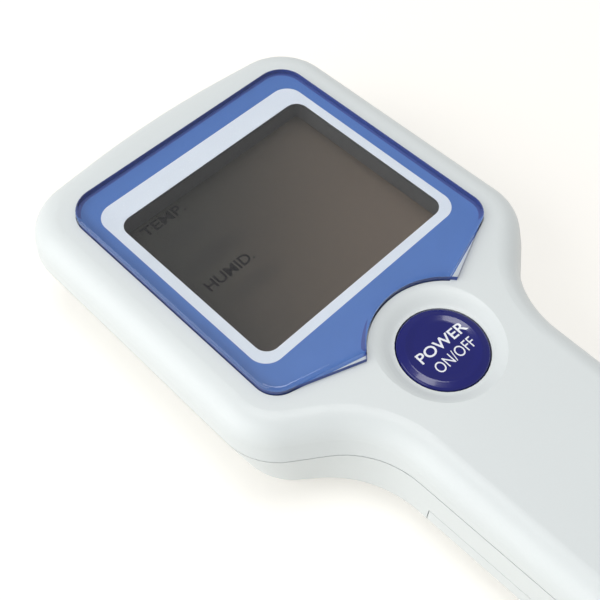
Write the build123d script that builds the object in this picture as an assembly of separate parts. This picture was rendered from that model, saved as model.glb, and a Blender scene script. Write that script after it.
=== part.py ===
from build123d import *
import os
from math import atan, cos, radians, sqrt, tan

# Hand-held thermo-hygrometer: a wide display head on a battery grip.
# Millimetres. X across, +Y towards the head end, +Z up out of the display.
# The origin is the middle of the flat back, under the middle of the length.

# Case, overall
body_length = 167.0
head_width = 72.2
neck_width = 37.9
butt_width = 35.6
body_height = 22.5
parting_z = 15.3
wall = 2.0
joint_gap = 0.15
lip_depth = 1.5
seam_depth = 0.25
seam_height = 0.12
grip_slope = 1.5

# Case outline: how far each feature lies from the display centre
display_to_head_end = 38.6
display_to_head_corner = 29.5
display_to_neck = 41.9
slope_start = 32.0
slope_blend = 400.0
head_end_sag = 3.4
butt_end_sag = 2.0
head_end_radius = 190.0
butt_end_radius = 60.0
corner_radius = 12.0
butt_corner_radius = 11.0
neck_radius = 17.0

# Case edges and draft, as insets from the parting outline
top_round = 5.0
bottom_round = 6.0
top_side_inset = 0.6
top_end_inset = 0.8
top_corner_shift = 2.2
top_neck_radius = 14.5
back_side_inset = 4.5
back_end_inset = 4.6
back_grip_inset = 0.3
back_corner_shift = -0.4
back_neck_radius = 24.0

# Display lens: a thick clear plate that stands proud of the case
lens_width = 56.0
lens_above = 28.9
lens_corner_below = 25.8
lens_point_below = 33.7
lens_corner_radius = 5.5
lens_low_corner_radius = 4.5
lens_thickness = 2.5
lens_proud = 1.7
lens_edge_round = 0.6
lens_gap = 0.15
tape_thickness = 0.15
tape_inset = 0.6
cutout_radius = 14.67
cutout_below = 40.6

# Display window and liquid crystal cell
window_width = 46.0
window_length = 38.9
window_corner = 2.6
aperture_margin = 0.5
shell_window_margin = 1.2
glass_width = 56.0
front_glass_length = 48.0
rear_glass_length = 43.6
glass_thickness = 1.1
film_thickness = 0.2
film_margin = 1.0
cell_face_z = 16.8
frame_wall = 1.2
frame_clearance = 0.15
frame_length = 52.0
contact_strip_width = 1.8
contact_strip_length = 50.0

# Main board
board_top_z = 11.0
board_thickness = 1.6
board_width = 63.0
board_above = 32.0
board_below = 28.5
board_tongue_width = 32.0
board_tongue_below = 50.0
board_notch_width = 15.0
board_notch_above = 25.0
board_corner = 1.5
board_clearance = 0.5

# Power button
button_below = 38.55
button_radius = 8.05
button_gap = 0.2
button_travel = 0.9
button_rim_depth = 1.3
button_crown = 0.45
button_shoulder = 1.5
button_dish = 0.25
dish_depth = 1.5
dish_outer = 11.4
dish_inner = 8.7
flange_radius = 9.3
flange_thickness = 1.0
flange_gap = 0.1
stem_radius = 1.5
guide_radius = 11.5
key_width = 1.6
dome_base_side = 19.0
dome_base_thickness = 1.0
dome_base_radius = 5.4
dome_top_radius = 3.6
dome_height = 5.4
dome_core_radius = 2.4
dome_web = 0.5
pill_radius = 2.2
pill_thickness = 0.5

# Screws
case_screw_radius = 1.45
case_screw_head_radius = 2.5
case_screw_head_height = 1.8
case_screw_length = 10.0
case_screw_seat_z = 8.6
case_boss_radius = 3.0
screw_well_radius = 2.8
screw_well_wall = 1.2
top_screw_x = 22.5
top_screw_above = 29.4
low_screw_x = 21.5
low_screw_below = 31.0
butt_screw_from_end = 8.6
butt_screw_seat = 2.0
butt_screw_length = 7.0
screw_tip_gap = 0.4
screw_clearance = 0.15
board_screw_radius = 1.0
board_screw_head_radius = 1.9
board_screw_head_height = 1.3
board_screw_length = 6.6
board_post_radius = 2.5
board_top_screw_x = 15.0
board_top_screw_above = 29.3
board_low_screw_x = 13.0
board_low_screw_below = 29.5

# Batteries: two AA cells side by side
cell_radius = 7.25
cell_length = 49.5
nub_radius = 2.6
nub_length = 1.0
cell_shoulder = 0.5
cell_spacing = 14.7
cell_clearance = 0.2
cell_floor_gap = 0.5
bay_wall = 1.5
bay_side_wall = 1.0
cradle_wall = 1.0
tray_round = 2.8
plate_thickness = 0.4
plate_side = 10.5
tab_width = 3.0
tab_z = 6.5
spring_length = 4.7
spring_wire = 0.35
spring_radius = 3.6
spring_turns = 3.5

# Battery door: slides off the end of the grip
door_front_below = 53.5
door_edge_z = 8.4
door_floor = 1.8
door_side_x = 16.0
door_inner_round = 3.0
door_end_wall = 1.8
door_gap = 0.15
rail_x = 16.45
rail_foot = 0.7
rail_head = 1.2
rail_height = 1.6
rail_head_height = 0.7
rail_setback = 2.0
rail_gap = 0.12
sill_height = 3.0
tongue_width = 6.0
tongue_reach = 3.0
tongue_thickness = 1.2
grip_groove_count = 6
grip_groove_pitch = 2.2
grip_groove_radius = 0.6
grip_groove_length = 13.0

# Sensor socket in the head end
socket_z = 8.2
socket_seat_from_end = 5.1
socket_wall = 2.0
socket_recess_radius = 5.4
socket_pad_width = 15.0
barrel_radius = 4.0
bore_radius = 3.0
bore_depth = 7.0
barrel_proud = 2.6
flange_socket_radius = 5.2
flange_socket_thickness = 1.3
seal_thickness = 0.8
insert_thickness = 2.0
insert_rim = 0.4
nut_radius = 5.0
nut_thickness = 1.8
pin_radius = 0.45
pin_offset = 1.3
pin_tail = 0.8

# Leads
lead_radius = 0.6
sensor_lead_radius = 0.4

# Worked-out places
end_y = body_length / 2
display_y = end_y - display_to_head_end
button_y = display_y - button_below
lens_top_z = body_height + lens_proud
lens_back_z = lens_top_z - lens_thickness
pocket_z = lens_back_z - tape_thickness
ceiling_z = body_height - wall
frame_top_z = ceiling_z - 0.1
front_glass_z = cell_face_z - film_thickness
rear_glass_z = front_glass_z - glass_thickness
reflector_z = rear_glass_z - glass_thickness
board_z = board_top_z - board_thickness
cell_x = cell_spacing / 2
cell_z = door_floor + cell_floor_gap + cell_radius + cell_clearance
bay_front_y = display_y - door_front_below - bay_wall
bay_length = cell_length + nub_length + spring_length + 2 * plate_thickness
bay_rear_y = bay_front_y - bay_length
bay_half = cell_x + cell_radius + cell_clearance
tray_half = bay_half + bay_side_wall
tray_floor_z = door_floor + 0.4
door_front_y = display_y - door_front_below
sill_top_z = door_edge_z + sill_height
socket_seat_y = end_y - socket_seat_from_end
socket_inner_y = socket_seat_y - socket_wall
barrel_front_y = socket_seat_y + barrel_proud
insert_face_y = barrel_front_y - bore_depth
case_screw_places = [
    (top_screw_x, display_y + top_screw_above),
    (-top_screw_x, display_y + top_screw_above),
    (low_screw_x, display_y - low_screw_below),
    (-low_screw_x, display_y - low_screw_below),
]
butt_screw_y = -end_y + butt_screw_from_end
butt_seat_z = door_edge_z + door_gap + butt_screw_seat
tab_end_y = door_front_y + door_gap + bay_wall + 1.6
dome_top_z = board_top_z + dome_height
pill_z = board_top_z + button_travel + 0.05
board_screw_places = [
    (board_top_screw_x, display_y + board_top_screw_above),
    (-board_top_screw_x, display_y + board_top_screw_above),
    (board_low_screw_x, display_y - board_low_screw_below),
    (-board_low_screw_x, display_y - board_low_screw_below),
]


def block(x0, x1, y0, y1, z0, z1):
    """A box between two corners."""
    return Pos((x0 + x1) / 2, (y0 + y1) / 2, (z0 + z1) / 2) * Box(x1 - x0, y1 - y0, z1 - z0)


def post(x, y, z0, z1, radius):
    """An upright cylinder."""
    return Pos(x, y, (z0 + z1) / 2) * Cylinder(radius, z1 - z0)


def rod(x, y0, y1, z, radius):
    """A cylinder along Y."""
    return Pos(x, (y0 + y1) / 2, z) * Rot(90, 0, 0) * Cylinder(radius, y1 - y0)


def plate(width, length, corner, y, z0, z1):
    """A flat rounded rectangle centred on x = 0."""
    return extrude(Pos(0, y, z0) * RectangleRounded(width, length, corner), amount=z1 - z0)


def case_outline(z, inset=0.0, side=0.0, end=0.0, grip=0.0, shift=0.0, neck=neck_radius, rounder=0.0):
    """The plan outline of the case at height z, pulled in by the given insets."""
    head = head_width / 2 - side - inset
    waist = neck_width / 2 - grip - inset
    butt = butt_width / 2 - grip - inset
    slope = (display_to_neck - display_to_head_corner) / ((head_width - neck_width) / 2)
    diagonal = shift + inset * (sqrt(1 + slope ** 2) - slope)
    head_y = end_y - end - inset
    butt_y = -end_y + min(end, 1.0) + inset
    head_sag = head_end_sag * head / (head_width / 2)
    butt_sag = butt_end_sag * butt / (butt_width / 2)
    head_apex = head_y + (head_end_radius - inset) * (1 / cos(atan(head_sag / head)) - 1)
    butt_apex = butt_y - (butt_end_radius - inset) * (1 / cos(atan(butt_sag / butt)) - 1)
    half = [
        (head, head_apex - head_sag, corner_radius - rounder - inset),
        (head, display_y - display_to_head_corner + diagonal, corner_radius - rounder - inset),
        (waist, display_y - display_to_neck + diagonal, neck + inset),
        (butt, butt_apex + butt_sag, butt_corner_radius - rounder - inset),
    ]
    right = [(x, y) for x, y, r in half]
    left = [(-x, y) for x, y, r in reversed(half)]
    radii = [r for x, y, r in half]
    points = [(0, head_apex)] + right + [(0, butt_apex)] + left
    corners = [head_end_radius - inset] + radii + [butt_end_radius - inset] + radii[::-1]
    edge = FilletPolyline(*points, radius=corners, close=True)
    return Pos(0, 0, z) * make_face(Wire(edge.edges()))


def upper_form(inset=0.0):
    """The outside of the front half, or its cavity when inset by the wall."""
    trim = 2.0
    reach = (body_height + trim - parting_z) / (body_height - parting_z)
    low = case_outline(parting_z, inset)
    high = case_outline(
        body_height + trim, inset, top_side_inset * reach, top_end_inset * reach, top_side_inset * reach,
        top_corner_shift * reach, top_neck_radius, 0.5)
    blank = loft([low, high], ruled=True)
    start_y = display_y - slope_start
    far = end_y + 10
    top = body_height - inset
    drop = (start_y + far) * tan(radians(grip_slope))
    profile = FilletPolyline(
        (far, parting_z - 1), (far, top), (start_y, top), (-far, top - drop), (-far, parting_z - 1),
        radius=[0, 0, slope_blend, 0, 0], close=True)
    side = extrude(Plane.YZ * make_face(Wire(profile.edges())), amount=head_width, both=True)
    form = blank & side
    tops = [f for f in form.faces() if f.normal_at().Z > 0.98]
    rim = [e for e in form.edges() if sum(any(e.is_same(o) for o in f.edges()) for f in tops) == 1]
    return fillet(rim, top_round - inset)


def lower_form(inset=0.0):
    """The outside of the back half, or its cavity when inset by the wall."""
    high = case_outline(parting_z, inset)
    low = case_outline(
        inset, inset, back_side_inset, back_end_inset, back_grip_inset, back_corner_shift, back_neck_radius, 1.0)
    form = loft([high, low], ruled=True)
    return fillet(form.faces().sort_by(Axis.Z)[0].edges(), bottom_round - inset)


def lens_outline(z, inset=0.0):
    """The lens in plan: straight top and sides, a shallow point, and a round cut-out for the button."""
    half = lens_width / 2 - inset
    slope = (lens_point_below - lens_corner_below) / (lens_width / 2)
    lift = inset * (sqrt(1 + slope ** 2) - slope)
    edge = FilletPolyline(
        (half, display_y + lens_above - inset),
        (half, display_y - lens_corner_below + lift),
        (0, display_y - lens_point_below + inset * sqrt(1 + slope ** 2)),
        (-half, display_y - lens_corner_below + lift),
        (-half, display_y + lens_above - inset),
        radius=[lens_corner_radius - inset, lens_low_corner_radius - inset, 0,
                lens_low_corner_radius - inset, lens_corner_radius - inset],
        close=True)
    plan = make_face(Wire(edge.edges())) - Pos(0, display_y - cutout_below) * Circle(cutout_radius + inset)
    return Pos(0, 0, z) * plan


def dish():
    """The hollow round the button, a soft-edged saucer."""
    top = body_height + 2
    profile = FilletPolyline(
        (0, body_height - dish_depth), (dish_inner, body_height - dish_depth), (dish_outer, body_height),
        (dish_outer + 6, body_height), (dish_outer + 6, top), (0, top),
        radius=[0, 2.0, 5.0, 0, 0, 0], close=True)
    face = Plane.XZ * make_face(Wire(profile.edges()))
    return Pos(0, button_y, 0) * revolve(face, Axis.Z)


def back_outline(z, inset=0.0):
    """The outline of the back half at height z, with its draft."""
    draft = (parting_z - z) / parting_z
    return case_outline(
        z, inset, back_side_inset * draft, back_end_inset * draft, back_grip_inset * draft,
        back_corner_shift * draft, neck_radius + (back_neck_radius - neck_radius) * draft, draft)


def tray_profile(half, arch, floor_z, corner):
    """Section across the battery tray: two arches over the cells on straight sides."""
    low = Pos(0, (floor_z + cell_z) / 2) * Rectangle(2 * half, cell_z - floor_z)
    if corner > 0:
        low = fillet(low.vertices().group_by(Axis.Y)[0], corner)
    arches = Pos(cell_x, cell_z) * Circle(arch) + Pos(-cell_x, cell_z) * Circle(arch)
    return low + (arches & Pos(0, cell_z + arch / 2) * Rectangle(2 * half, arch))


def along(section, y0, y1):
    """A section in X and Z pulled from y0 to y1."""
    return extrude(Pos(0, y1, 0) * Rot(90, 0, 0) * section, amount=y1 - y0)


def seam_groove(z):
    """A ring round the parting line that leaves a fine shadow gap between the halves."""
    ring = extrude(case_outline(z, -1.0), amount=seam_height)
    return ring - extrude(case_outline(z - 1, seam_depth), amount=seam_height + 2)


def front_shell():
    """Front half of the case, with screw bosses, board posts, button guide and joint lip."""
    form = upper_form()
    guide_z = body_height - dish_depth - wall
    shell = form - upper_form(wall)
    bosses = Part() + [post(x, y, parting_z, body_height, case_boss_radius) for x, y in case_screw_places]
    bosses += post(0, butt_screw_y, parting_z, body_height, case_boss_radius)
    shell += form & bosses
    shell += [post(x, y, board_top_z, ceiling_z + 0.5, board_post_radius) for x, y in board_screw_places]
    shell += post(0, button_y, guide_z, ceiling_z + 0.5, guide_radius)
    key_y = button_y - flange_radius
    shell += block(-key_width / 2, key_width / 2, key_y - 1.2, key_y + 0.8, guide_z - 1.9, guide_z + 0.2)
    lip = extrude(case_outline(parting_z - lip_depth, wall / 2 + joint_gap), amount=lip_depth + 0.2)
    lip -= extrude(case_outline(parting_z - lip_depth - 0.1, wall), amount=lip_depth + 0.5)
    shell += lip
    shell -= seam_groove(parting_z)
    shell -= extrude(lens_outline(pocket_z, -lens_gap), amount=5)
    shell -= plate(
        window_width + 2 * shell_window_margin, window_length + 2 * shell_window_margin, window_corner,
        display_y, ceiling_z - 1, body_height)
    shell -= dish()
    shell -= post(0, button_y, guide_z - 1, body_height, button_radius + button_gap)
    tip_z = case_screw_seat_z + case_screw_length + screw_tip_gap
    shell -= [post(x, y, parting_z - 1, tip_z, case_screw_radius) for x, y in case_screw_places]
    tip_z = butt_seat_z + butt_screw_length + screw_tip_gap
    shell -= post(0, butt_screw_y, parting_z - 1, tip_z, case_screw_radius)
    tip_z = board_z + board_screw_length + screw_tip_gap
    shell -= [post(x, y, board_top_z - 1, tip_z, board_screw_radius) for x, y in board_screw_places]
    return shell


def back_shell():
    """Back half of the case, with screw wells, the battery tray and the socket pad."""
    form = lower_form()
    shell = form - lower_form(wall)
    front_y = door_front_y + door_gap
    edge_z = door_edge_z + door_gap
    # Everything below the door line is left to the door
    shell -= block(-40, 40, -end_y - 1, front_y, -1, edge_z)
    # Side sills that carry the door rails, and a deck over the end of the grip
    sill = block(-20, 20, -end_y - 1, front_y, edge_z, sill_top_z)
    sill -= block(-tray_half + 0.3, tray_half - 0.3, -end_y - 2, front_y + 1, 0, sill_top_z + 1)
    shell += form & sill
    shell += form & block(-20, 20, -end_y - 1, bay_rear_y - bay_wall, edge_z, edge_z + bay_wall)
    # Bulkhead between the head and the grip
    shell += form & block(-30, 30, front_y, front_y + bay_wall, 0, parting_z)
    # Tray with arches over the cells
    outer = tray_profile(tray_half, cell_radius + cell_clearance + cradle_wall, tray_floor_z, tray_round)
    inner = tray_profile(bay_half, cell_radius + cell_clearance, 0, 0)
    tray = along(outer, bay_rear_y - bay_wall, front_y + bay_wall)
    tray -= along(inner, bay_rear_y, bay_front_y)
    shell += tray
    # Wells and pillars for the case screws
    for x, y in case_screw_places:
        shell += form & post(x, y, 0, case_screw_seat_z + wall, screw_well_radius + screw_well_wall)
        shell += post(x, y, case_screw_seat_z, parting_z, case_boss_radius)
    shell += post(0, butt_screw_y, edge_z, butt_seat_z + wall, screw_well_radius + screw_well_wall)
    shell += post(0, butt_screw_y, butt_seat_z, parting_z, case_boss_radius)
    # Pad behind the sensor socket
    pad = block(
        -socket_pad_width / 2, socket_pad_width / 2, socket_inner_y, end_y, 0, socket_z + socket_pad_width / 2)
    pad &= form
    shell += pad
    # Rebate for the lip of the front half
    rebate = extrude(case_outline(parting_z - lip_depth - joint_gap, wall / 2), amount=5)
    rebate -= extrude(case_outline(parting_z - lip_depth - 1, wall + 1.0), amount=7)
    shell -= rebate
    shell -= seam_groove(parting_z - seam_height)
    # Screw holes
    for x, y in case_screw_places:
        shell -= post(x, y, -1, case_screw_seat_z, screw_well_radius)
        shell -= post(x, y, 0, parting_z + 1, case_screw_radius + screw_clearance)
    shell -= post(0, butt_screw_y, edge_z - 1, butt_seat_z, screw_well_radius)
    shell -= post(0, butt_screw_y, edge_z, parting_z + 1, case_screw_radius + screw_clearance)
    # Rail grooves, open at the end of the grip
    for side in (-1, 1):
        x = side * rail_x
        foot = rail_foot / 2 + rail_gap
        head = rail_head / 2 + rail_gap
        neck_z = door_edge_z + rail_height - rail_head_height
        y1 = door_front_y - rail_setback + 1.0
        shell -= block(x - foot, x + foot, -end_y - 1, y1, edge_z - 1, neck_z)
        shell -= block(x - head, x + head, -end_y - 1, y1, neck_z - rail_gap, door_edge_z + rail_height + rail_gap)
    # Slot for the tongue of the door
    tongue_z = door_floor + 0.3
    shell -= block(
        -tongue_width / 2 - rail_gap, tongue_width / 2 + rail_gap, bay_front_y - 1,
        door_front_y + tongue_reach + 1, door_floor + 0.2, tongue_z + tongue_thickness + rail_gap)
    # Slots for the contact tabs
    for side in (-1, 1):
        x = side * cell_x
        shell -= block(
            x - tab_width / 2, x + tab_width / 2, bay_front_y - 1, front_y + bay_wall + 1,
            tab_z - plate_thickness / 2, tab_z + plate_thickness / 2)
    # Socket hole and recess
    shell -= rod(0, socket_inner_y - 3, end_y + 1, socket_z, barrel_radius)
    shell -= rod(0, socket_seat_y, end_y + 1, socket_z, socket_recess_radius)
    return shell


def battery_door():
    """Cover of the battery compartment: the whole underside of the grip."""
    form = lower_form()
    door = form & block(-40, 40, -end_y - 1, door_front_y, -1, door_edge_z)
    hollow = Pos(0, (door_floor + parting_z) / 2) * Rectangle(2 * door_side_x, parting_z - door_floor)
    hollow = fillet(hollow.vertices().group_by(Axis.Y)[0], door_inner_round)
    void = along(hollow, -end_y - 1, door_front_y + 1)
    void &= extrude(case_outline(0, door_end_wall, 0, back_end_inset), amount=parting_z)
    door -= void
    for side in (-1, 1):
        x = side * rail_x
        neck_z = door_edge_z + rail_height - rail_head_height
        y1 = door_front_y - rail_setback
        rail = block(x - rail_foot / 2, x + rail_foot / 2, -end_y, y1, door_edge_z - 0.5, neck_z + 0.1)
        rail += block(x - rail_head / 2, x + rail_head / 2, -end_y, y1, neck_z, door_edge_z + rail_height)
        door += rail & form
    tongue_z = door_floor + 0.3
    half = tongue_width / 2
    door += block(-half, half, door_front_y - 1.3, door_front_y, door_floor - 0.5, tongue_z + tongue_thickness)
    door += block(
        -half, half, door_front_y - 1.3, door_front_y + tongue_reach, tongue_z, tongue_z + tongue_thickness)
    for k in range(grip_groove_count):
        y = door_front_y - 14 - k * grip_groove_pitch
        bar = Pos(0, y, 0) * Rot(0, 90, 0) * Cylinder(grip_groove_radius, grip_groove_length)
        door -= bar
    return door


def display_lens():
    """Clear back-printed window plate."""
    lens = extrude(lens_outline(lens_back_z), amount=lens_thickness)
    return fillet(lens.faces().sort_by(Axis.Z)[-1].edges(), lens_edge_round)


def lens_adhesive():
    """Die-cut double-sided tape under the rim of the lens."""
    tape = extrude(lens_outline(pocket_z, tape_inset), amount=tape_thickness)
    margin = 2 * shell_window_margin + 0.6
    return tape - plate(
        window_width + margin, window_length + margin, window_corner, display_y, pocket_z - 1, pocket_z + 1)


def lcd_polarizer():
    return block(
        -glass_width / 2 + film_margin, glass_width / 2 - film_margin,
        display_y - front_glass_length / 2 + film_margin, display_y + front_glass_length / 2 - film_margin,
        front_glass_z, cell_face_z)


def lcd_front_glass():
    return Pos(0, display_y, front_glass_z - glass_thickness / 2) * Box(
        glass_width, front_glass_length, glass_thickness)


def lcd_rear_glass():
    return Pos(0, display_y, rear_glass_z - glass_thickness / 2) * Box(
        glass_width, rear_glass_length, glass_thickness)


def lcd_reflector():
    return Pos(0, display_y, reflector_z - film_thickness / 2) * Box(
        glass_width - 2 * film_margin, rear_glass_length - 2 * film_margin, film_thickness)


def lcd_frame():
    """Dark frame that holds the display cell over the board and shades its edges."""
    width = glass_width + 2 * (frame_clearance + frame_wall)
    frame = plate(width, frame_length, 1.5, display_y, board_top_z, frame_top_z)
    frame -= Pos(0, display_y, (board_top_z + cell_face_z) / 2) * Box(
        glass_width + 2 * frame_clearance, front_glass_length + 2 * frame_clearance, cell_face_z - board_top_z)
    frame -= plate(
        window_width + 2 * aperture_margin, window_length + 2 * aperture_margin, 1.0,
        display_y, board_top_z, frame_top_z + 1)
    return frame


def zebra_strips():
    """Conductive rubber strips between the board and the ledges of the front glass."""
    offset = (front_glass_length + rear_glass_length) / 4
    height = rear_glass_z - board_top_z
    return [
        Pos(0, display_y + side * offset, board_top_z + height / 2) * Box(
            contact_strip_length, contact_strip_width, height)
        for side in (-1, 1)]


def main_board():
    """Circuit board with a tongue that reaches under the power button."""
    blank = extrude(back_outline(board_z, wall + board_clearance), amount=board_thickness)
    wide = plate(
        board_width, board_above + board_below, board_corner, display_y + (board_above - board_below) / 2,
        board_z - 1, board_top_z + 1)
    tongue = plate(
        board_tongue_width, board_tongue_below, board_corner, display_y - board_tongue_below / 2,
        board_z - 1, board_top_z + 1)
    board = blank & (wide + tongue)
    board -= block(
        -board_notch_width / 2, board_notch_width / 2, display_y + board_notch_above, end_y,
        board_z - 1, board_top_z + 1)
    for x, y in case_screw_places:
        board -= post(x, y, board_z - 1, board_top_z + 1, screw_well_radius + screw_well_wall + board_clearance)
    for x, y in board_screw_places:
        board -= post(x, y, board_z - 1, board_top_z + 1, board_screw_radius + screw_clearance)
    return board


def chip(x, y, width, length, height):
    """A flat package on the underside of the board."""
    body = Pos(x, y, board_z - height / 2) * Box(width, length, height)
    return chamfer(body.faces().sort_by(Axis.Z)[0].edges(), 0.3)


def clock_crystal():
    can = plate(4.6, 10.4, 2.2, 0, board_z - 3.2, board_z - 0.4)
    base = plate(5.2, 11.0, 2.5, 0, board_z - 0.4, board_z)
    return Pos(15, display_y - 6, 0) * (can + base)


def chip_components():
    """Chip resistors and capacitors on the underside of the board."""
    places = [
        (-19, 8), (-16, 8), (-13, 8), (-19, -8), (-16, -8), (5, -14), (8, -14), (11, -14),
        (-4, 17), (3, 13), (6, 13), (20, 14)]
    return [
        Pos(x, display_y + y, board_z - 0.45) * Box(1.25, 2.0, 0.9) for x, y in places]


def power_button():
    """Hard glossy cap with a guide flange and a stem that reaches into the dome."""
    rim_z = body_height - button_rim_depth
    guide_z = body_height - dish_depth - wall
    flange_top = guide_z - flange_gap
    crown_z = rim_z + button_crown
    inner = button_radius - button_shoulder
    edge = FilletPolyline(
        (0, crown_z - button_dish), (inner * 0.8, crown_z - button_dish), (inner, crown_z),
        (button_radius, rim_z), (button_radius, flange_top), (0, flange_top),
        radius=[0, 3.0, 0.8, 0.6, 0, 0], close=True)
    cap = Pos(0, button_y, 0) * revolve(Plane.XZ * make_face(Wire(edge.edges())), Axis.Z)
    cap += post(0, button_y, flange_top - flange_thickness, flange_top, flange_radius)
    cap -= block(
        -key_width / 2 - 0.2, key_width / 2 + 0.2, button_y - flange_radius - 1, button_y - flange_radius + 1.0,
        flange_top - flange_thickness - 1, flange_top + 1)
    cap += post(0, button_y, dome_top_z, flange_top, dome_top_radius)
    cap += post(0, button_y, pill_z + pill_thickness, dome_top_z + 0.5, stem_radius)
    return cap


def button_dome():
    """Silicone rubber dome that returns the button."""
    base = plate(dome_base_side, dome_base_side, 2.0, button_y, board_top_z, board_top_z + dome_base_thickness)
    skirt_z = board_top_z + dome_base_thickness
    roof_z = dome_top_z - 1.4
    outer = Polyline(
        (0, board_top_z), (dome_base_radius, board_top_z), (dome_base_radius, skirt_z),
        (dome_top_radius, roof_z), (dome_top_radius, dome_top_z), (0, dome_top_z), close=True)
    dome = base + Pos(0, button_y, 0) * revolve(Plane.XZ * make_face(Wire(outer.edges())), Axis.Z)
    inner = Polyline(
        (0, board_top_z), (dome_base_radius - dome_web, board_top_z), (dome_base_radius - dome_web, skirt_z),
        (dome_top_radius - dome_web, roof_z), (dome_core_radius, roof_z),
        (dome_core_radius, pill_z + pill_thickness), (0, pill_z + pill_thickness), close=True)
    dome -= Pos(0, button_y, 0) * revolve(Plane.XZ * make_face(Wire(inner.edges())), Axis.Z)
    return dome - post(0, button_y, board_top_z, dome_top_z + 1, stem_radius)


def contact_pill():
    return post(0, button_y, pill_z, pill_z + pill_thickness, pill_radius)


def cell(x, front, sign):
    """An AA cell along Y whose positive nub is at `front` and points along `sign`."""
    shoulder = front - sign * nub_length
    tail = shoulder - sign * cell_length
    can = rod(x, min(shoulder, tail), max(shoulder, tail), cell_z, cell_radius)
    can = chamfer(can.edges().filter_by(GeomType.CIRCLE), cell_shoulder)
    nub = rod(x, min(front, shoulder - sign), max(front, shoulder - sign), cell_z, nub_radius)
    return can + nub


def spring(x, y0, y1):
    """A round-wire compression spring along Y between two planes."""
    height = y1 - y0 - 2 * spring_wire
    path = Pos(x, y0 + spring_wire, cell_z) * Rot(-90, 0, 0) * Helix(
        height / spring_turns, height, spring_radius)
    start = path @ 0
    return sweep(Plane(start, z_dir=path % 0) * RegularPolygon(spring_wire, 6), path)


def contact_plate(x, y0, tab):
    """A flat spring-brass contact in the tray, with or without a solder tab."""
    sheet = Pos(x, y0 + plate_thickness / 2, cell_z) * Box(plate_side, plate_thickness, plate_side)
    if tab:
        sheet += block(
            x - tab_width / 2, x + tab_width / 2, y0, tab_end_y,
            tab_z - plate_thickness / 2, tab_z + plate_thickness / 2)
    return sheet


def link_contact():
    """Plate across the rear of both cells: two pads joined by a low bridge."""
    middle_y = bay_rear_y + plate_thickness / 2
    link = Pos(0, middle_y, cell_z - plate_side / 4) * Box(2 * cell_x, plate_thickness, plate_side / 2)
    for side in (-1, 1):
        link += Pos(side * cell_x, middle_y, cell_z) * Box(plate_side, plate_thickness, plate_side)
    return link


def lead(points, radii, radius):
    """A round insulated wire through the given points, with eased bends."""
    path = FilletPolyline(*points, radius=radii)
    return sweep(Plane(path @ 0, z_dir=path % 0) * RegularPolygon(radius, 10), Wire(path.edges()))


def battery_lead(x, end_x):
    return lead(
        [(x, tab_end_y, tab_z), (x, tab_end_y + 1.6, tab_z), (end_x, tab_end_y + 4.2, tab_z),
         (end_x, tab_end_y + 4.2, board_z)],
        [0.7, 0.9], lead_radius)


def sensor_leads():
    """Four thin wires from the socket pins to the board."""
    tail_y = insert_face_y - insert_thickness - pin_tail
    low_z = board_z - sensor_lead_radius - 0.5
    wires = []
    for side in (-1, 1):
        x = side * pin_offset
        high = socket_z + pin_offset
        wires.append(lead(
            [(x, tail_y, high), (x, tail_y - 0.4, high), (x, tail_y - 1.5, low_z), (x, tail_y - 4.0, low_z),
             (x, tail_y - 4.0, board_z)],
            [0.45, 0.6, 0.6], sensor_lead_radius))
        low = socket_z - pin_offset
        wires.append(lead(
            [(x, tail_y, low), (x, tail_y - 7.0, low), (x, tail_y - 7.0, board_z)],
            [0.8], sensor_lead_radius))
    return wires


def socket_shell():
    """Metal body of the sensor socket: bored barrel, rear flange and sleeve."""
    flange_y = socket_inner_y - seal_thickness
    body = rod(0, insert_face_y - insert_thickness, barrel_front_y, socket_z, barrel_radius)
    body += rod(0, flange_y - flange_socket_thickness, flange_y, socket_z, flange_socket_radius)
    body = chamfer(body.faces().sort_by(Axis.Y)[-1].edges(), 0.4)
    body -= rod(0, insert_face_y - insert_thickness - 1, insert_face_y, socket_z, bore_radius + insert_rim)
    return body - rod(0, insert_face_y - 1, barrel_front_y + 1, socket_z, bore_radius)


def pin_places():
    return [(a * pin_offset, socket_z + b * pin_offset) for a in (-1, 1) for b in (-1, 1)]


def socket_insert():
    """Moulded disc that carries the contacts, seated on the shoulder at the end of the bore."""
    disc = rod(0, insert_face_y - insert_thickness, insert_face_y, socket_z, bore_radius + insert_rim)
    for x, z in pin_places():
        disc -= rod(x, insert_face_y - insert_thickness - 1, insert_face_y + 1, z, pin_radius)
    return disc


def socket_pins():
    """Four hollow contacts, open towards the plug."""
    pins = []
    for x, z in pin_places():
        pin = rod(x, insert_face_y - insert_thickness - pin_tail, insert_face_y, z, pin_radius)
        pins.append(pin - rod(x, insert_face_y - 1.4, insert_face_y + 1, z, pin_radius * 0.55))
    return pins


def socket_nut():
    nut = rod(0, socket_seat_y, socket_seat_y + nut_thickness, socket_z, nut_radius)
    nut = chamfer(nut.faces().sort_by(Axis.Y)[-1].edges(), 0.3)
    for k in range(2):
        slot = Pos(0, socket_seat_y + nut_thickness, socket_z) * Rot(0, 90 * k, 0) * Box(
            2 * nut_radius + 1, 1.2, 1.2)
        nut -= slot
    return nut - rod(0, socket_seat_y - 1, end_y, socket_z, barrel_radius)


def socket_seal():
    ring = rod(0, socket_inner_y - seal_thickness, socket_inner_y, socket_z, flange_socket_radius)
    return ring - rod(0, socket_inner_y - 5, end_y, socket_z, barrel_radius)


def cross_screw(x, y, seat_z, length, radius, head_radius, head_height):
    """A pan-head screw driven upwards, head below the seat."""
    head = post(x, y, seat_z - head_height, seat_z, head_radius)
    head = chamfer(head.edges().filter_by(GeomType.CIRCLE).sort_by(Axis.Z)[0], head_height * 0.35)
    screw = head + post(x, y, seat_z - 0.2, seat_z + length, radius)
    arm = head_radius * 1.1
    drive = Pos(x, y, seat_z - head_height) * Box(arm, 0.6, head_height)
    drive += Pos(x, y, seat_z - head_height) * Box(0.6, arm, head_height)
    return screw - drive


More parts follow.
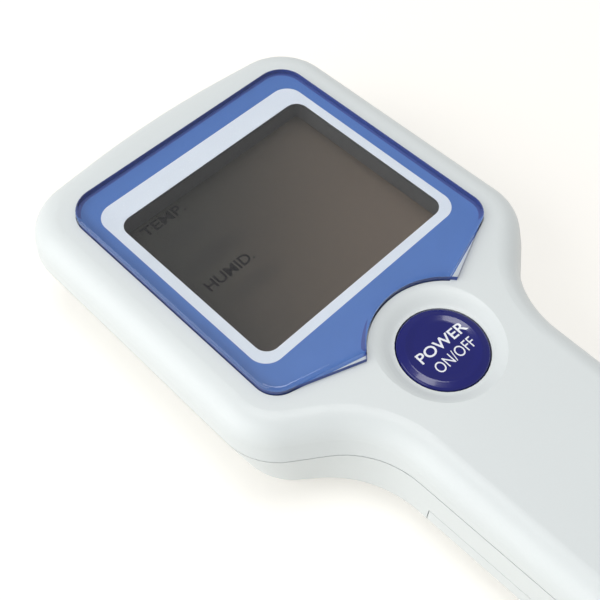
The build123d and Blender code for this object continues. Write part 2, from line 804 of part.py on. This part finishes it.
def case_screws():
    screws = [
        cross_screw(x, y, case_screw_seat_z, case_screw_length, case_screw_radius,
                    case_screw_head_radius, case_screw_head_height)
        for x, y in case_screw_places]
    screws.append(cross_screw(
        0, butt_screw_y, butt_seat_z, butt_screw_length, case_screw_radius,
        case_screw_head_radius, case_screw_head_height))
    return screws


def board_screws():
    return [
        cross_screw(x, y, board_z, board_screw_length, board_screw_radius,
                    board_screw_head_radius, board_screw_head_height)
        for x, y in board_screw_places]


def pieces():
    """Every piece of the instrument by node name, each a list of solids."""
    cell_front = bay_front_y - plate_thickness
    cell_rear = bay_rear_y + plate_thickness
    return {
        "front_shell": [front_shell()],
        "back_shell": [back_shell()],
        "display_lens": [display_lens()],
        "lens_adhesive": [lens_adhesive()],
        "lcd_frame": [lcd_frame()],
        "lcd_polarizer": [lcd_polarizer()],
        "lcd_front_glass": [lcd_front_glass()],
        "lcd_rear_glass": [lcd_rear_glass()],
        "lcd_reflector": [lcd_reflector()],
        "zebra_strips": zebra_strips(),
        "main_board": [main_board()],
        "controller_chip": [chip(-8, display_y - 1, 12, 12, 1.4)],
        "amplifier_chip": [chip(12, display_y + 12, 5, 6, 1.6)],
        "clock_crystal": [clock_crystal()],
        "chip_components": chip_components(),
        "power_button": [power_button()],
        "button_dome": [button_dome()],
        "contact_pill": [contact_pill()],
        "battery_door": [battery_door()],
        "cell_left": [cell(-cell_x, cell_front, 1)],
        "cell_right": [cell(cell_x, cell_rear, -1)],
        "link_contact": [link_contact()],
        "link_spring": [spring(-cell_x, cell_rear, cell_rear + spring_length)],
        "positive_contact": [contact_plate(-cell_x, bay_front_y - plate_thickness, True)],
        "negative_contact": [contact_plate(cell_x, bay_front_y - plate_thickness, True)],
        "negative_spring": [spring(cell_x, cell_front - spring_length, cell_front)],
        "positive_lead": [battery_lead(-cell_x, -cell_x - 1)],
        "negative_lead": [battery_lead(cell_x, cell_x + 1)],
        "socket_shell": [socket_shell()],
        "socket_insert": [socket_insert()],
        "socket_pins": socket_pins(),
        "socket_nut": [socket_nut()],
        "socket_seal": [socket_seal()],
        "sensor_leads": sensor_leads(),
        "case_screws": case_screws(),
        "board_screws": board_screws(),
    }


def main():
    os.makedirs("parts", exist_ok=True)
    for name, solids in pieces().items():
        found = []
        for item in solids:
            found += list(item.solids())
        shape = found[0] if len(found) == 1 else Compound(children=found)
        export_step(shape, os.path.join("parts", name + ".step"))


if __name__ == "__main__":
    main()
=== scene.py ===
import math

import bmesh
import bpy
from mathutils import Matrix, Vector
from mathutils.bvhtree import BVHTree


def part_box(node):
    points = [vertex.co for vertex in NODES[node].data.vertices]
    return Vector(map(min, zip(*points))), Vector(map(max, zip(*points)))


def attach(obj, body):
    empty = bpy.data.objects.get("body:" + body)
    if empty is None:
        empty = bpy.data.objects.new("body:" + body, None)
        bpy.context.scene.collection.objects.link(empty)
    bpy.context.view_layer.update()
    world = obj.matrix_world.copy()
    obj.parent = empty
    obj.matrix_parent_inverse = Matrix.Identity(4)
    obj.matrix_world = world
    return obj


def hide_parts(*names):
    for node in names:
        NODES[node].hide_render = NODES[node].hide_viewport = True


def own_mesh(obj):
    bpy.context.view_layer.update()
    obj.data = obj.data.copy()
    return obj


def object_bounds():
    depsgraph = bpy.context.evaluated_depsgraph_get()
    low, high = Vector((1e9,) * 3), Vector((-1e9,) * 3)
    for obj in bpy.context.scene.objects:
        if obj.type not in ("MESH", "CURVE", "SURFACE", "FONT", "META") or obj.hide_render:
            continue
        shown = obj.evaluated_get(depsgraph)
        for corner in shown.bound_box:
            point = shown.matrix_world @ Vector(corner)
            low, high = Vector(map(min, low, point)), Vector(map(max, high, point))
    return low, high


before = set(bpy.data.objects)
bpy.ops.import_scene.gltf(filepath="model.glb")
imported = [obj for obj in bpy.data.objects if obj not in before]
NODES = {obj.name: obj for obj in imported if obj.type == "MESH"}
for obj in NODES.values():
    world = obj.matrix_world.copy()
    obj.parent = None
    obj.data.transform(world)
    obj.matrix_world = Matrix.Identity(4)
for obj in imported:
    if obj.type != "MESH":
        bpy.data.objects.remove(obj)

MM = 0.001
cad_low, cad_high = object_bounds()

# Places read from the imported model, in millimetres
lens_low, lens_high = [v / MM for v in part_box("display_lens")]
film_low, film_high = [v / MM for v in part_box("lcd_polarizer")]
button_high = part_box("power_button")[1] / MM
display_y = (film_low.y + film_high.y) / 2
flange_radius = 9.3
button_y = button_high.y - flange_radius

# Sizes of the object, in millimetres. Those of the lens are measured from the display's centre.
parting_z = 15.3
window_half_width = 23.0
window_half_length = 19.45
window_corner = 2.6
border_half_width = 25.0
border_half_length = 22.75
border_corner = 3.6
border_shift = 1.42
lens_half_width = 28.0
lens_above = 28.9
lens_corner_below = 25.8
lens_point_below = 33.7
lens_top_corner = 5.5
lens_low_corner = 4.5
cutout_radius = 14.67
cutout_below = 40.6
ink_height = 0.03
edge_shade_inset = 0.06
side_shade_inset = 0.10
side_shade_drop = 0.75
rim_width = 0.85
label_lift = 0.02


class Tree:
    """Small helper that adds shader nodes to one material."""

    def __init__(self, name):
        self.material = bpy.data.materials.new(name)
        self.material.use_nodes = True
        self.tree = self.material.node_tree
        self.tree.nodes.clear()
        self.out = self.add("ShaderNodeOutputMaterial")

    def add(self, kind, **settings):
        node = self.tree.nodes.new(kind)
        for key, value in settings.items():
            setattr(node, key, value)
        return node

    def link(self, a, b):
        self.tree.links.new(a, b)

    def set(self, socket, value):
        if isinstance(value, bpy.types.NodeSocket):
            self.link(value, socket)
        elif isinstance(value, (tuple, list)) and len(value) == 3 and socket.type == "RGBA":
            socket.default_value = (*value, 1.0)
        else:
            socket.default_value = value

    def math(self, operation, a, b=0.0, c=None):
        node = self.add("ShaderNodeMath", operation=operation)
        self.set(node.inputs[0], a)
        self.set(node.inputs[1], b)
        if c is not None:
            self.set(node.inputs[2], c)
        return node.outputs[0]

    def mix(self, factor, a, b):
        node = self.add("ShaderNodeMix", data_type="RGBA")
        self.set(node.inputs[0], factor)
        self.set(node.inputs[6], a)
        self.set(node.inputs[7], b)
        return node.outputs[2]

    def place(self):
        """Object coordinates in metres, whole and split into x, y and z."""
        coords = self.add("ShaderNodeTexCoord")
        split = self.add("ShaderNodeSeparateXYZ")
        self.link(coords.outputs["Object"], split.inputs[0])
        return coords.outputs["Object"], split.outputs[0], split.outputs[1], split.outputs[2]

    def noise(self, vector, scale, detail=2.0, roughness=0.5):
        node = self.add("ShaderNodeTexNoise")
        self.link(vector, node.inputs["Vector"])
        node.inputs["Scale"].default_value = scale
        node.inputs["Detail"].default_value = detail
        node.inputs["Roughness"].default_value = roughness
        return node.outputs["Fac"]

    def ramp(self, value, low, high):
        """0 below low, 1 above high, smooth in between."""
        node = self.add("ShaderNodeMapRange", interpolation_type="SMOOTHSTEP")
        self.set(node.inputs["Value"], value)
        node.inputs["From Min"].default_value = low
        node.inputs["From Max"].default_value = high
        return node.outputs[0]

    def bump(self, height, strength, distance):
        node = self.add("ShaderNodeBump")
        self.link(height, node.inputs["Height"])
        node.inputs["Strength"].default_value = strength
        node.inputs["Distance"].default_value = distance
        return node.outputs[0]

    def principled(self, **values):
        node = self.add("ShaderNodeBsdfPrincipled")
        for key, value in values.items():
            self.set(node.inputs[key.replace("_", " ")], value)
        self.link(node.outputs[0], self.out.inputs["Surface"])
        return node


def srgb(r, g, b):
    """A screen colour, 0 to 255, as linear values."""
    return tuple(((c / 255 + 0.055) / 1.055) ** 2.4 if c > 10 else c / 255 / 12.92 for c in (r, g, b))


def wear(
        name, colour, roughness, grain=900.0, spread=0.05, bump=0.15, metallic=0.0, coat=0.0, specular=0.5):
    """A moulded, plated or coated finish with its own fine grain and slight unevenness."""
    t = Tree(name)
    vector = t.place()[0]
    broad = t.noise(vector, grain / 30, 3.0)
    fine = t.noise(vector, grain, 2.0)
    darker = tuple(c * (1 - spread) for c in colour)
    lighter = tuple(min(1.0, c * (1 + spread)) for c in colour)
    rough = t.math("MULTIPLY_ADD", fine, 0.12, roughness - 0.06)
    t.principled(
        Base_Color=t.mix(broad, darker, lighter), Roughness=rough, Metallic=metallic,
        Coat_Weight=coat, Specular_IOR_Level=specular, Normal=t.bump(fine, bump, 0.00002))
    return t.material


def case_plastic(name, seam_shade=True):
    """Pale grey moulded plastic with a fine spark-eroded texture, and painted shade as a thin dark line
    along the parting line.
    """
    t = Tree(name)
    vector, x, y, z = t.place()
    broad = t.noise(vector, 35.0, 3.0)
    fine = t.noise(vector, 2600.0, 2.0, 0.6)
    colour = t.mix(broad, srgb(222, 227, 227), srgb(227, 232, 231))
    colour = t.mix(t.math("MULTIPLY", fine, 0.10), colour, srgb(200, 206, 207))
    if seam_shade:
        # Painted shade: a thin dark line along the parting line, where the gap between the shells falls in
        # shade
        away = t.math("ABSOLUTE", t.math("SUBTRACT", z, parting_z * MM))
        painted_seam_shade = t.math("SUBTRACT", 1.0, t.ramp(away, 0.00006, 0.00024))
        colour = t.mix(t.math("MULTIPLY", painted_seam_shade, 0.18), colour, srgb(120, 122, 120))
    t.principled(
        Base_Color=colour, Roughness=t.math("MULTIPLY_ADD", fine, 0.10, 0.34), IOR=1.5,
        Normal=t.bump(fine, 0.12, 0.00003))
    return t.material


def clear_acrylic():
    """Clear lens plastic. Lamps shine through it, as they do through a thin window."""
    t = Tree("lens_clear")
    glass = t.principled(
        Base_Color=(0.97, 0.985, 1.0), Roughness=0.0, IOR=1.49, Transmission_Weight=1.0,
        Specular_IOR_Level=0.22)
    clear = t.add("ShaderNodeBsdfTransparent")
    clear.inputs[0].default_value = (0.94, 0.95, 0.96, 1.0)
    path = t.add("ShaderNodeLightPath")
    mixed = t.add("ShaderNodeMixShader")
    t.link(path.outputs["Is Shadow Ray"], mixed.inputs[0])
    t.link(glass.outputs[0], mixed.inputs[1])
    t.link(clear.outputs[0], mixed.inputs[2])
    t.link(mixed.outputs[0], t.out.inputs["Surface"])
    return t.material


def box_distance(t, x, y, centre, half, corner):
    """Signed distance in metres to a rounded rectangle in plan."""
    qx = t.math("SUBTRACT", t.math("ABSOLUTE", t.math("SUBTRACT", x, centre[0])), half[0] - corner)
    qy = t.math("SUBTRACT", t.math("ABSOLUTE", t.math("SUBTRACT", y, centre[1])), half[1] - corner)
    px = t.math("MAXIMUM", qx, 0.0)
    py = t.math("MAXIMUM", qy, 0.0)
    outer = t.math("SQRT", t.math("ADD", t.math("MULTIPLY", px, px), t.math("MULTIPLY", py, py)))
    inner = t.math("MINIMUM", t.math("MAXIMUM", qx, qy), 0.0)
    return t.math("SUBTRACT", t.math("ADD", outer, inner), corner)


def lens_ink():
    """Ink on the back of the lens: a blue field, with a light grey metallic border round the window."""
    t = Tree("lens_ink")
    vector, x, y, z = t.place()
    centre = (0.0, (display_y + border_shift) * MM)
    half = (border_half_width * MM, border_half_length * MM)
    away = box_distance(t, x, y, centre, half, border_corner * MM)
    field = t.ramp(away, -0.00004, 0.00004)
    flake = t.noise(vector, 5200.0, 1.0)
    spark = t.ramp(flake, 0.62, 0.80)
    grey = t.mix(spark, srgb(222, 228, 234), srgb(244, 247, 250))
    broad = t.noise(vector, 30.0, 2.0)
    blue = t.mix(broad, srgb(70, 110, 176), srgb(76, 116, 182))
    t.principled(
        Base_Color=t.mix(field, grey, blue), Roughness=0.42, Specular_IOR_Level=0.3,
        Normal=t.bump(flake, 0.05, 0.00001))
    return t.material


# Painted shadows of the display's segments, as soft dark patches on the film: place from its centre, half
# sizes and strength
painted_segment_shadows = [(-12.0, 5.5, 9.0, 3.0, 0.30), (-11.5, -4.5, 8.0, 2.6, 0.26), (-13.0, 13.0, 7.0, 2.2, 0.22)]


def lcd_film():
    """Grey-brown polarizing film of a display that is switched off, with painted shade and light across it
    and soft painted shadows of its segments.
    """
    t = Tree("lcd_film")
    vector, x, y, z = t.place()
    # Painted shade and light: the film is darker towards -x and +y, lighter and warmer towards +x and -y
    below = t.math("SUBTRACT", y, display_y * MM)
    slope = t.math("ADD", t.math("MULTIPLY", x, 10.0), t.math("MULTIPLY", below, -9.0))
    painted_light_ramp = t.ramp(slope, -0.30, 0.38)
    colour = t.mix(painted_light_ramp, srgb(42, 40, 35), srgb(92, 80, 69))
    # Painted shadows of the segments: each darkens the film in a soft patch
    for cx, cy, rx, ry, amount in painted_segment_shadows:
        dx = t.math("DIVIDE", t.math("SUBTRACT", x, cx * MM), rx * MM)
        dy = t.math("DIVIDE", t.math("SUBTRACT", y, (display_y + cy) * MM), ry * MM)
        reach = t.math("ADD", t.math("MULTIPLY", dx, dx), t.math("MULTIPLY", dy, dy))
        painted_shadow = t.math("MULTIPLY", t.math("SUBTRACT", 1.0, t.ramp(reach, 0.0, 1.0)), amount)
        colour = t.mix(painted_shadow, colour, srgb(22, 20, 20))
    fine = t.noise(vector, 1800.0, 2.0)
    t.principled(
        Base_Color=colour, Roughness=t.math("MULTIPLY_ADD", fine, 0.06, 0.36), Specular_IOR_Level=0.1)
    return t.material


def button_plastic():
    """Deep navy glossy button with a clear coat."""
    t = Tree("button_navy")
    broad = t.noise(t.place()[0], 120.0, 2.0)
    colour = t.mix(broad, srgb(14, 18, 100), srgb(20, 24, 112))
    t.principled(
        Base_Color=colour, Roughness=0.16, Specular_IOR_Level=0.35, Coat_Weight=0.35, Coat_Roughness=0.04,
        Normal=t.bump(broad, 0.03, 0.00005))
    return t.material


def laminate():
    """Green circuit board with lighter copper tracks under the mask."""
    t = Tree("board_green")
    tracks = t.add("ShaderNodeTexBrick")
    t.link(t.place()[0], tracks.inputs["Vector"])
    tracks.inputs["Scale"].default_value = 300.0
    tracks.inputs["Color1"].default_value = (0.012, 0.10, 0.035, 1)
    tracks.inputs["Color2"].default_value = (0.015, 0.12, 0.045, 1)
    tracks.inputs["Mortar"].default_value = (0.05, 0.22, 0.08, 1)
    tracks.inputs["Mortar Size"].default_value = 0.04
    relief = t.bump(tracks.outputs["Fac"], 0.2, 0.00003)
    t.principled(Base_Color=tracks.outputs["Color"], Roughness=0.35, Normal=relief)
    return t.material


def paint(node, material):
    """Gives a CAD node one material."""
    data = NODES[node].data
    data.materials.clear()
    data.materials.append(material)
    for face in data.polygons:
        face.material_index = 0


shell_paint = case_plastic("case_plastic")
paint("front_shell", shell_paint)
paint("back_shell", shell_paint)
paint("battery_door", case_plastic("door_plastic", seam_shade=False))
paint("display_lens", clear_acrylic())
paint("lens_adhesive", wear("tape_black", srgb(40, 40, 44), 0.7))
paint("lcd_frame", wear("frame_dark", srgb(72, 71, 69), 0.5, 1500.0))
paint("lcd_polarizer", lcd_film())
cell_glass = wear("cell_glass", srgb(120, 126, 120), 0.08, 400.0, 0.03, 0.02, coat=0.5)
paint("lcd_front_glass", cell_glass)
paint("lcd_rear_glass", cell_glass)
paint("lcd_reflector", wear("foil_grey", srgb(150, 150, 142), 0.35, 2500.0, 0.04, 0.2, metallic=0.8))
paint("zebra_strips", wear("strip_rubber", srgb(150, 96, 96), 0.75))
paint("main_board", laminate())
chip_black = wear("chip_black", srgb(34, 34, 36), 0.6, 3000.0)
paint("controller_chip", chip_black)
paint("amplifier_chip", chip_black)
paint("clock_crystal", wear("can_steel", srgb(196, 196, 196), 0.25, 1500.0, 0.04, 0.1, metallic=1.0))
paint("chip_components", wear("ceramic_tan", srgb(150, 120, 88), 0.55, 3000.0))
paint("power_button", button_plastic())
paint("button_dome", wear("silicone_white", srgb(222, 222, 216), 0.65, 1200.0))
paint("contact_pill", wear("carbon_black", srgb(26, 26, 26), 0.8, 3000.0))
contact = wear("contact_nickel", srgb(206, 203, 196), 0.25, 1200.0, 0.05, 0.1, metallic=1.0)
for name in ("link_contact", "link_spring", "positive_contact", "negative_contact", "negative_spring"):
    paint(name, contact)
paint("positive_lead", wear("lead_red", srgb(176, 26, 22), 0.45, 1500.0))
paint("negative_lead", wear("lead_black", srgb(28, 28, 30), 0.45, 1500.0))
paint("sensor_leads", wear("lead_grey", srgb(128, 128, 130), 0.45, 1500.0))
socket_metal = wear("socket_nickel", srgb(212, 211, 206), 0.2, 900.0, 0.04, 0.1, metallic=1.0)
paint("socket_shell", socket_metal)
paint("socket_nut", socket_metal)
paint("socket_insert", wear("insert_black", srgb(34, 34, 36), 0.5))
paint("socket_pins", wear("pin_gold", srgb(214, 178, 92), 0.2, 1500.0, 0.05, 0.1, metallic=1.0))
paint("socket_seal", wear("seal_black", srgb(28, 28, 28), 0.7))
screw_steel = wear("screw_zinc", srgb(198, 198, 200), 0.3, 2200.0, 0.05, 0.2, metallic=1.0)
paint("case_screws", screw_steel)
paint("board_screws", screw_steel)


def cell_wrap(name, positive_y, negative_y):
    """Printed sleeve of an AA cell: dark body, copper-coloured positive end, bare metal tips."""
    t = Tree(name)
    vector, x, y, z = t.place()
    share = t.math("DIVIDE", t.math("SUBTRACT", y, negative_y * MM), (positive_y - negative_y) * MM)
    top = t.ramp(share, 0.698, 0.702)
    far_tip = t.ramp(share, 0.968, 0.970)
    near_tip = t.math("SUBTRACT", 1.0, t.ramp(share, 0.010, 0.012))
    tips = t.math("MAXIMUM", far_tip, near_tip)
    fine = t.noise(vector, 1500.0, 2.0)
    colour = t.mix(top, srgb(32, 33, 36), srgb(178, 112, 62))
    colour = t.mix(tips, colour, srgb(205, 204, 200))
    t.principled(
        Base_Color=colour, Roughness=t.math("MULTIPLY_ADD", fine, 0.08, 0.22),
        Metallic=t.math("MULTIPLY", t.math("MAXIMUM", top, tips), 0.85), Normal=t.bump(fine, 0.05, 0.00001))
    return t.material


left_low, left_high = [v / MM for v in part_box("cell_left")]
right_low, right_high = [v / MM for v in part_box("cell_right")]
paint("cell_left", cell_wrap("wrap_left", left_high.y, left_low.y))
paint("cell_right", cell_wrap("wrap_right", right_low.y, right_high.y))


def arc(cx, cy, radius, start, end, steps):
    """Points on an arc, angles in degrees."""
    found = []
    for k in range(steps + 1):
        a = math.radians(start + (end - start) * k / steps)
        found.append((cx + radius * math.cos(a), cy + radius * math.sin(a)))
    return found


def rounded(cx, cy, half_x, half_y, corner):
    """A rounded rectangle, anticlockwise."""
    points = []
    for sx, sy, start in ((1, 1, 0), (-1, 1, 90), (-1, -1, 180), (1, -1, 270)):
        corner_x = cx + sx * (half_x - corner)
        corner_y = cy + sy * (half_y - corner)
        points += arc(corner_x, corner_y, corner, start, start + 90, 10)
    return points


def flat_piece(name, loops, z, material, body):
    """A flat filled piece, from an outline and its holes, at height z."""
    curve = bpy.data.curves.new(name, "CURVE")
    curve.dimensions = "2D"
    curve.fill_mode = "BOTH"
    for loop in loops:
        spline = curve.splines.new("POLY")
        spline.points.add(len(loop) - 1)
        for point, (px, py) in zip(spline.points, loop):
            point.co = (px * MM, py * MM, 0.0, 1.0)
        spline.use_cyclic_u = True
    holder = bpy.data.objects.new(name + "_curve", curve)
    bpy.context.scene.collection.objects.link(holder)
    bpy.context.view_layer.update()
    mesh = bpy.data.meshes.new_from_object(holder.evaluated_get(bpy.context.evaluated_depsgraph_get()))
    bpy.data.objects.remove(holder)
    mesh.transform(Matrix.Translation((0, 0, z * MM)))
    work = bmesh.new()
    work.from_mesh(mesh)
    bmesh.ops.remove_doubles(work, verts=work.verts, dist=1e-7)
    for face in work.faces:
        face.normal_update()
        if face.normal.z < 0:
            face.normal_flip()
    work.to_mesh(mesh)
    work.free()
    mesh.name = name
    mesh.materials.clear()
    mesh.materials.append(material)
    piece = bpy.data.objects.new(name, mesh)
    bpy.context.scene.collection.objects.link(piece)
    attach(piece, body)


def lens_plan(inset):
    """The lens outline in plan, moved inwards, with its round cut-out for the button."""
    half = lens_half_width - inset
    top = display_y + lens_above - inset
    slope = (lens_point_below - lens_corner_below) / lens_half_width
    length = math.sqrt(1 + slope * slope)
    tilt = math.degrees(math.atan(slope))
    corner_y = display_y - lens_corner_below + inset * (length - slope)
    point_y = display_y - lens_point_below + inset * length
    cutout = cutout_radius + inset
    cutout_y = display_y - cutout_below
    high = lens_top_corner - inset
    low = lens_low_corner - inset
    low_y = corner_y + low * math.tan(math.radians(90 - tilt) / 2)
    drop = point_y - cutout_y
    # The slope ends 1.4 mm past its true meeting with the cut-out, so towards the two tips the ink
    # lies outside the clear plastic, by up to 1.2 mm, and a pale wedge shows between them
    cut_x = (math.sqrt((cutout * length) ** 2 - drop * drop) + slope * drop) / length ** 2
    angle = math.degrees(math.atan2(drop + slope * cut_x, cut_x))
    points = arc(half - high, top - high, high, 0, 90, 10)
    points += arc(-half + high, top - high, high, 90, 180, 10)
    points += arc(-half + low, low_y, low, 180, 270 - tilt, 8)
    points += arc(0, cutout_y, cutout, 180 - angle, angle, 36)
    points += arc(half - low, low_y, low, 270 + tilt, 360, 8)
    return points


ink_z = lens_low.z + ink_height
window = rounded(0, display_y, window_half_width, window_half_length, window_corner)
flat_piece("lens_print", [lens_plan(rim_width), window], ink_z, lens_ink(), "case")
# Painted shade: the print gets a dark navy band along the lens's outline, for the dark edges of the lens
edge_shade_navy = wear("edge_shade_navy", srgb(40, 66, 140), 0.4)
flat_piece("lens_edge_shade", [lens_plan(edge_shade_inset), lens_plan(rim_width)], ink_z, edge_shade_navy, "case")


def lens_side_shade(inset, low_z, high_z, material):
    """Painted shade on the side of the lens: a dark band that follows its outline just inside the plastic.
    """
    loop = lens_plan(inset)
    count = len(loop)
    corners = [(px * MM, py * MM, z * MM) for z in (low_z, high_z) for px, py in loop]
    faces = [(k, (k + 1) % count, count + (k + 1) % count, count + k) for k in range(count)]
    mesh = bpy.data.meshes.new("lens_side_shade")
    mesh.from_pydata(corners, [], faces)
    mesh.materials.append(material)
    piece = bpy.data.objects.new("lens_side_shade", mesh)
    bpy.context.scene.collection.objects.link(piece)
    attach(piece, "case")


def surface_of(node):
    """The node's faces, for finding the height of its surface."""
    holder = NODES[node]
    corners = [holder.matrix_world @ v.co for v in holder.data.vertices]
    return BVHTree.FromPolygons(corners, [tuple(face.vertices) for face in holder.data.polygons])


def lettering(name, words, centre, size, turn, surface, material, body, bold=0.0):
    """Printed words of a given width and height, laid on a surface and turned into a mesh."""
    text = bpy.data.curves.new(name, "FONT")
    text.body = words
    text.size = size[1] * MM
    text.offset = bold * MM
    text.resolution_u = 4
    holder = bpy.data.objects.new(name + "_text", text)
    bpy.context.scene.collection.objects.link(holder)
    bpy.context.view_layer.update()
    mesh = bpy.data.meshes.new_from_object(holder.evaluated_get(bpy.context.evaluated_depsgraph_get()))
    bpy.data.objects.remove(holder)
    low = Vector([min(v.co[k] for v in mesh.vertices) for k in range(3)])
    high = Vector([max(v.co[k] for v in mesh.vertices) for k in range(3)])
    fit = Matrix.Diagonal((size[0] * MM / (high.x - low.x), size[1] * MM / (high.y - low.y), 1.0, 1.0))
    mesh.transform(
        Matrix.Translation((centre[0] * MM, centre[1] * MM, 0)) @ Matrix.Rotation(math.radians(turn), 4, "Z")
        @ fit @ Matrix.Translation(-(low + high) / 2))
    for vertex in mesh.vertices:
        above = Vector((vertex.co.x, vertex.co.y, cad_high.z + 0.01))
        spot = surface.ray_cast(above, Vector((0, 0, -1)))[0]
        vertex.co.z = spot.z + label_lift * MM
    mesh.name = name
    mesh.materials.clear()
    mesh.materials.append(material)
    piece = bpy.data.objects.new(name, mesh)
    bpy.context.scene.collection.objects.link(piece)
    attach(piece, body)


# Painted shade: a dark navy band inside the side of the lens, so its edges look dark
lens_side_shade(side_shade_inset, ink_z, lens_high.z - side_shade_drop, edge_shade_navy)
white_ink = wear("white_ink", srgb(236, 238, 244), 0.35, 4000.0, 0.02, 0.05)
segment_ink = wear("segment_ink", srgb(8, 7, 7), 0.9, 4000.0, 0.02, 0.05, specular=0.0)
button_top = surface_of("power_button")
film_top = surface_of("lcd_polarizer")
# Each word: its centre, its width and height, its turn and how bold it is
lettering(
    "word_power", "POWER", (0.55, button_y + 0.9), (11.0, 2.1), -4, button_top, white_ink, "button",
    0.03)
lettering(
    "word_on_off", "ON/OFF", (0.3, button_y - 2.25), (8.9, 2.1), -3, button_top, white_ink, "button")
for name, words, centre_x, above, width in (
        ("word_humid", "HUMID.", -13.2, 0.5, 11.1), ("word_temp", "TEMP.", -14.2, 18.0, 10.0)):
    lettering(
        name, words, (centre_x, display_y + above), (width, 2.35), 0, film_top, segment_ink, "case",
        0.04)

# A copy of the silicone dome with its own mesh, attached to the case, takes the place of the packed one
dome = NODES["button_dome"].copy()
dome.data = NODES["button_dome"].data.copy()
dome.name = "dome_soft"
bpy.context.scene.collection.objects.link(dome)
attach(dome, "case")
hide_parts("button_dome")
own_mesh(dome)

# Floor
floor_mesh = bpy.data.meshes.new("floor")
reach = 4
floor_mesh.from_pydata(
    [(-reach, -reach, 0), (reach, -reach, 0), (reach, reach, 0), (-reach, reach, 0)], [], [(0, 1, 2, 3)])
floor = bpy.data.objects.new("floor", floor_mesh)
floor_gap = 0.00005
floor.location = (0, 0, -floor_gap)
bpy.context.scene.collection.objects.link(floor)
t = Tree("floor_white")
tone = t.mix(t.noise(t.place()[0], 8.0, 2.0), (0.80, 0.785, 0.75), (0.82, 0.805, 0.77))
diffuse = t.add("ShaderNodeBsdfDiffuse")
t.link(tone, diffuse.inputs[0])
glow = t.add("ShaderNodeEmission")
glow.inputs[0].default_value = (1.0, 0.96, 0.90, 1.0)
path = t.add("ShaderNodeLightPath")
seen = t.math("MAXIMUM", path.outputs["Is Camera Ray"], path.outputs["Is Transmission Ray"])
seen = t.math("MAXIMUM", seen, path.outputs["Is Glossy Ray"])
t.link(t.math("MULTIPLY", seen, 0.31), glow.inputs[1])
both = t.add("ShaderNodeAddShader")
t.link(diffuse.outputs[0], both.inputs[0])
t.link(glow.outputs[0], both.inputs[1])
t.link(both.outputs[0], t.out.inputs["Surface"])
floor_mesh.materials.append(t.material)

# World
world = bpy.data.worlds.new("studio")
bpy.context.scene.world = world
world.use_nodes = True
shade = world.node_tree.nodes["Background"]
shade.inputs[0].default_value = (0.98, 0.99, 1.0, 1.0)
shade.inputs[1].default_value = 0.48


def area(name, place, aim, size, watts):
    """A soft square lamp that points at aim."""
    lamp = bpy.data.lights.new(name, "AREA")
    lamp.shape = "SQUARE"
    lamp.size = size
    lamp.energy = watts
    holder = bpy.data.objects.new(name, lamp)
    holder.location = place
    holder.rotation_mode = "QUATERNION"
    holder.rotation_quaternion = (Vector(aim) - Vector(place)).to_track_quat("-Z", "Y")
    bpy.context.scene.collection.objects.link(holder)


area("key", (0.06, 0.12, 1.0), (0, 0.03, 0), 0.4, 3.0)
area("side", (-0.65, 0.22, 0.30), (0, 0, 0.01), 0.8, 4.0)

# Camera at the photograph's place, with its three directions as solved from the display window
camera_place = (-0.07370, -0.03011, 0.15136)
right = Vector((0.7052, -0.7088, 0.0149))
down = Vector((-0.5824, -0.5911, -0.5580))
ahead = Vector((0.4043, 0.3848, -0.8297))
camera_data = bpy.data.cameras.new("camera")
camera_data.sensor_width = 36.0
camera_data.lens = 53.98
camera_data.clip_start = 0.01
camera_data.clip_end = 20.0
camera_data.dof.use_dof = False
camera = bpy.data.objects.new("camera", camera_data)
turned = Matrix((right, -down, -ahead)).transposed()
camera.matrix_world = Matrix.Translation(camera_place) @ turned.to_4x4()
bpy.context.scene.collection.objects.link(camera)
bpy.context.scene.camera = camera
bpy.context.scene.view_settings.view_transform = "Standard"

# Smooth shading inside each face of the solids
for node in NODES.values():
    for face in node.data.polygons:
        face.use_smooth = True

bpy.context.view_layer.update()
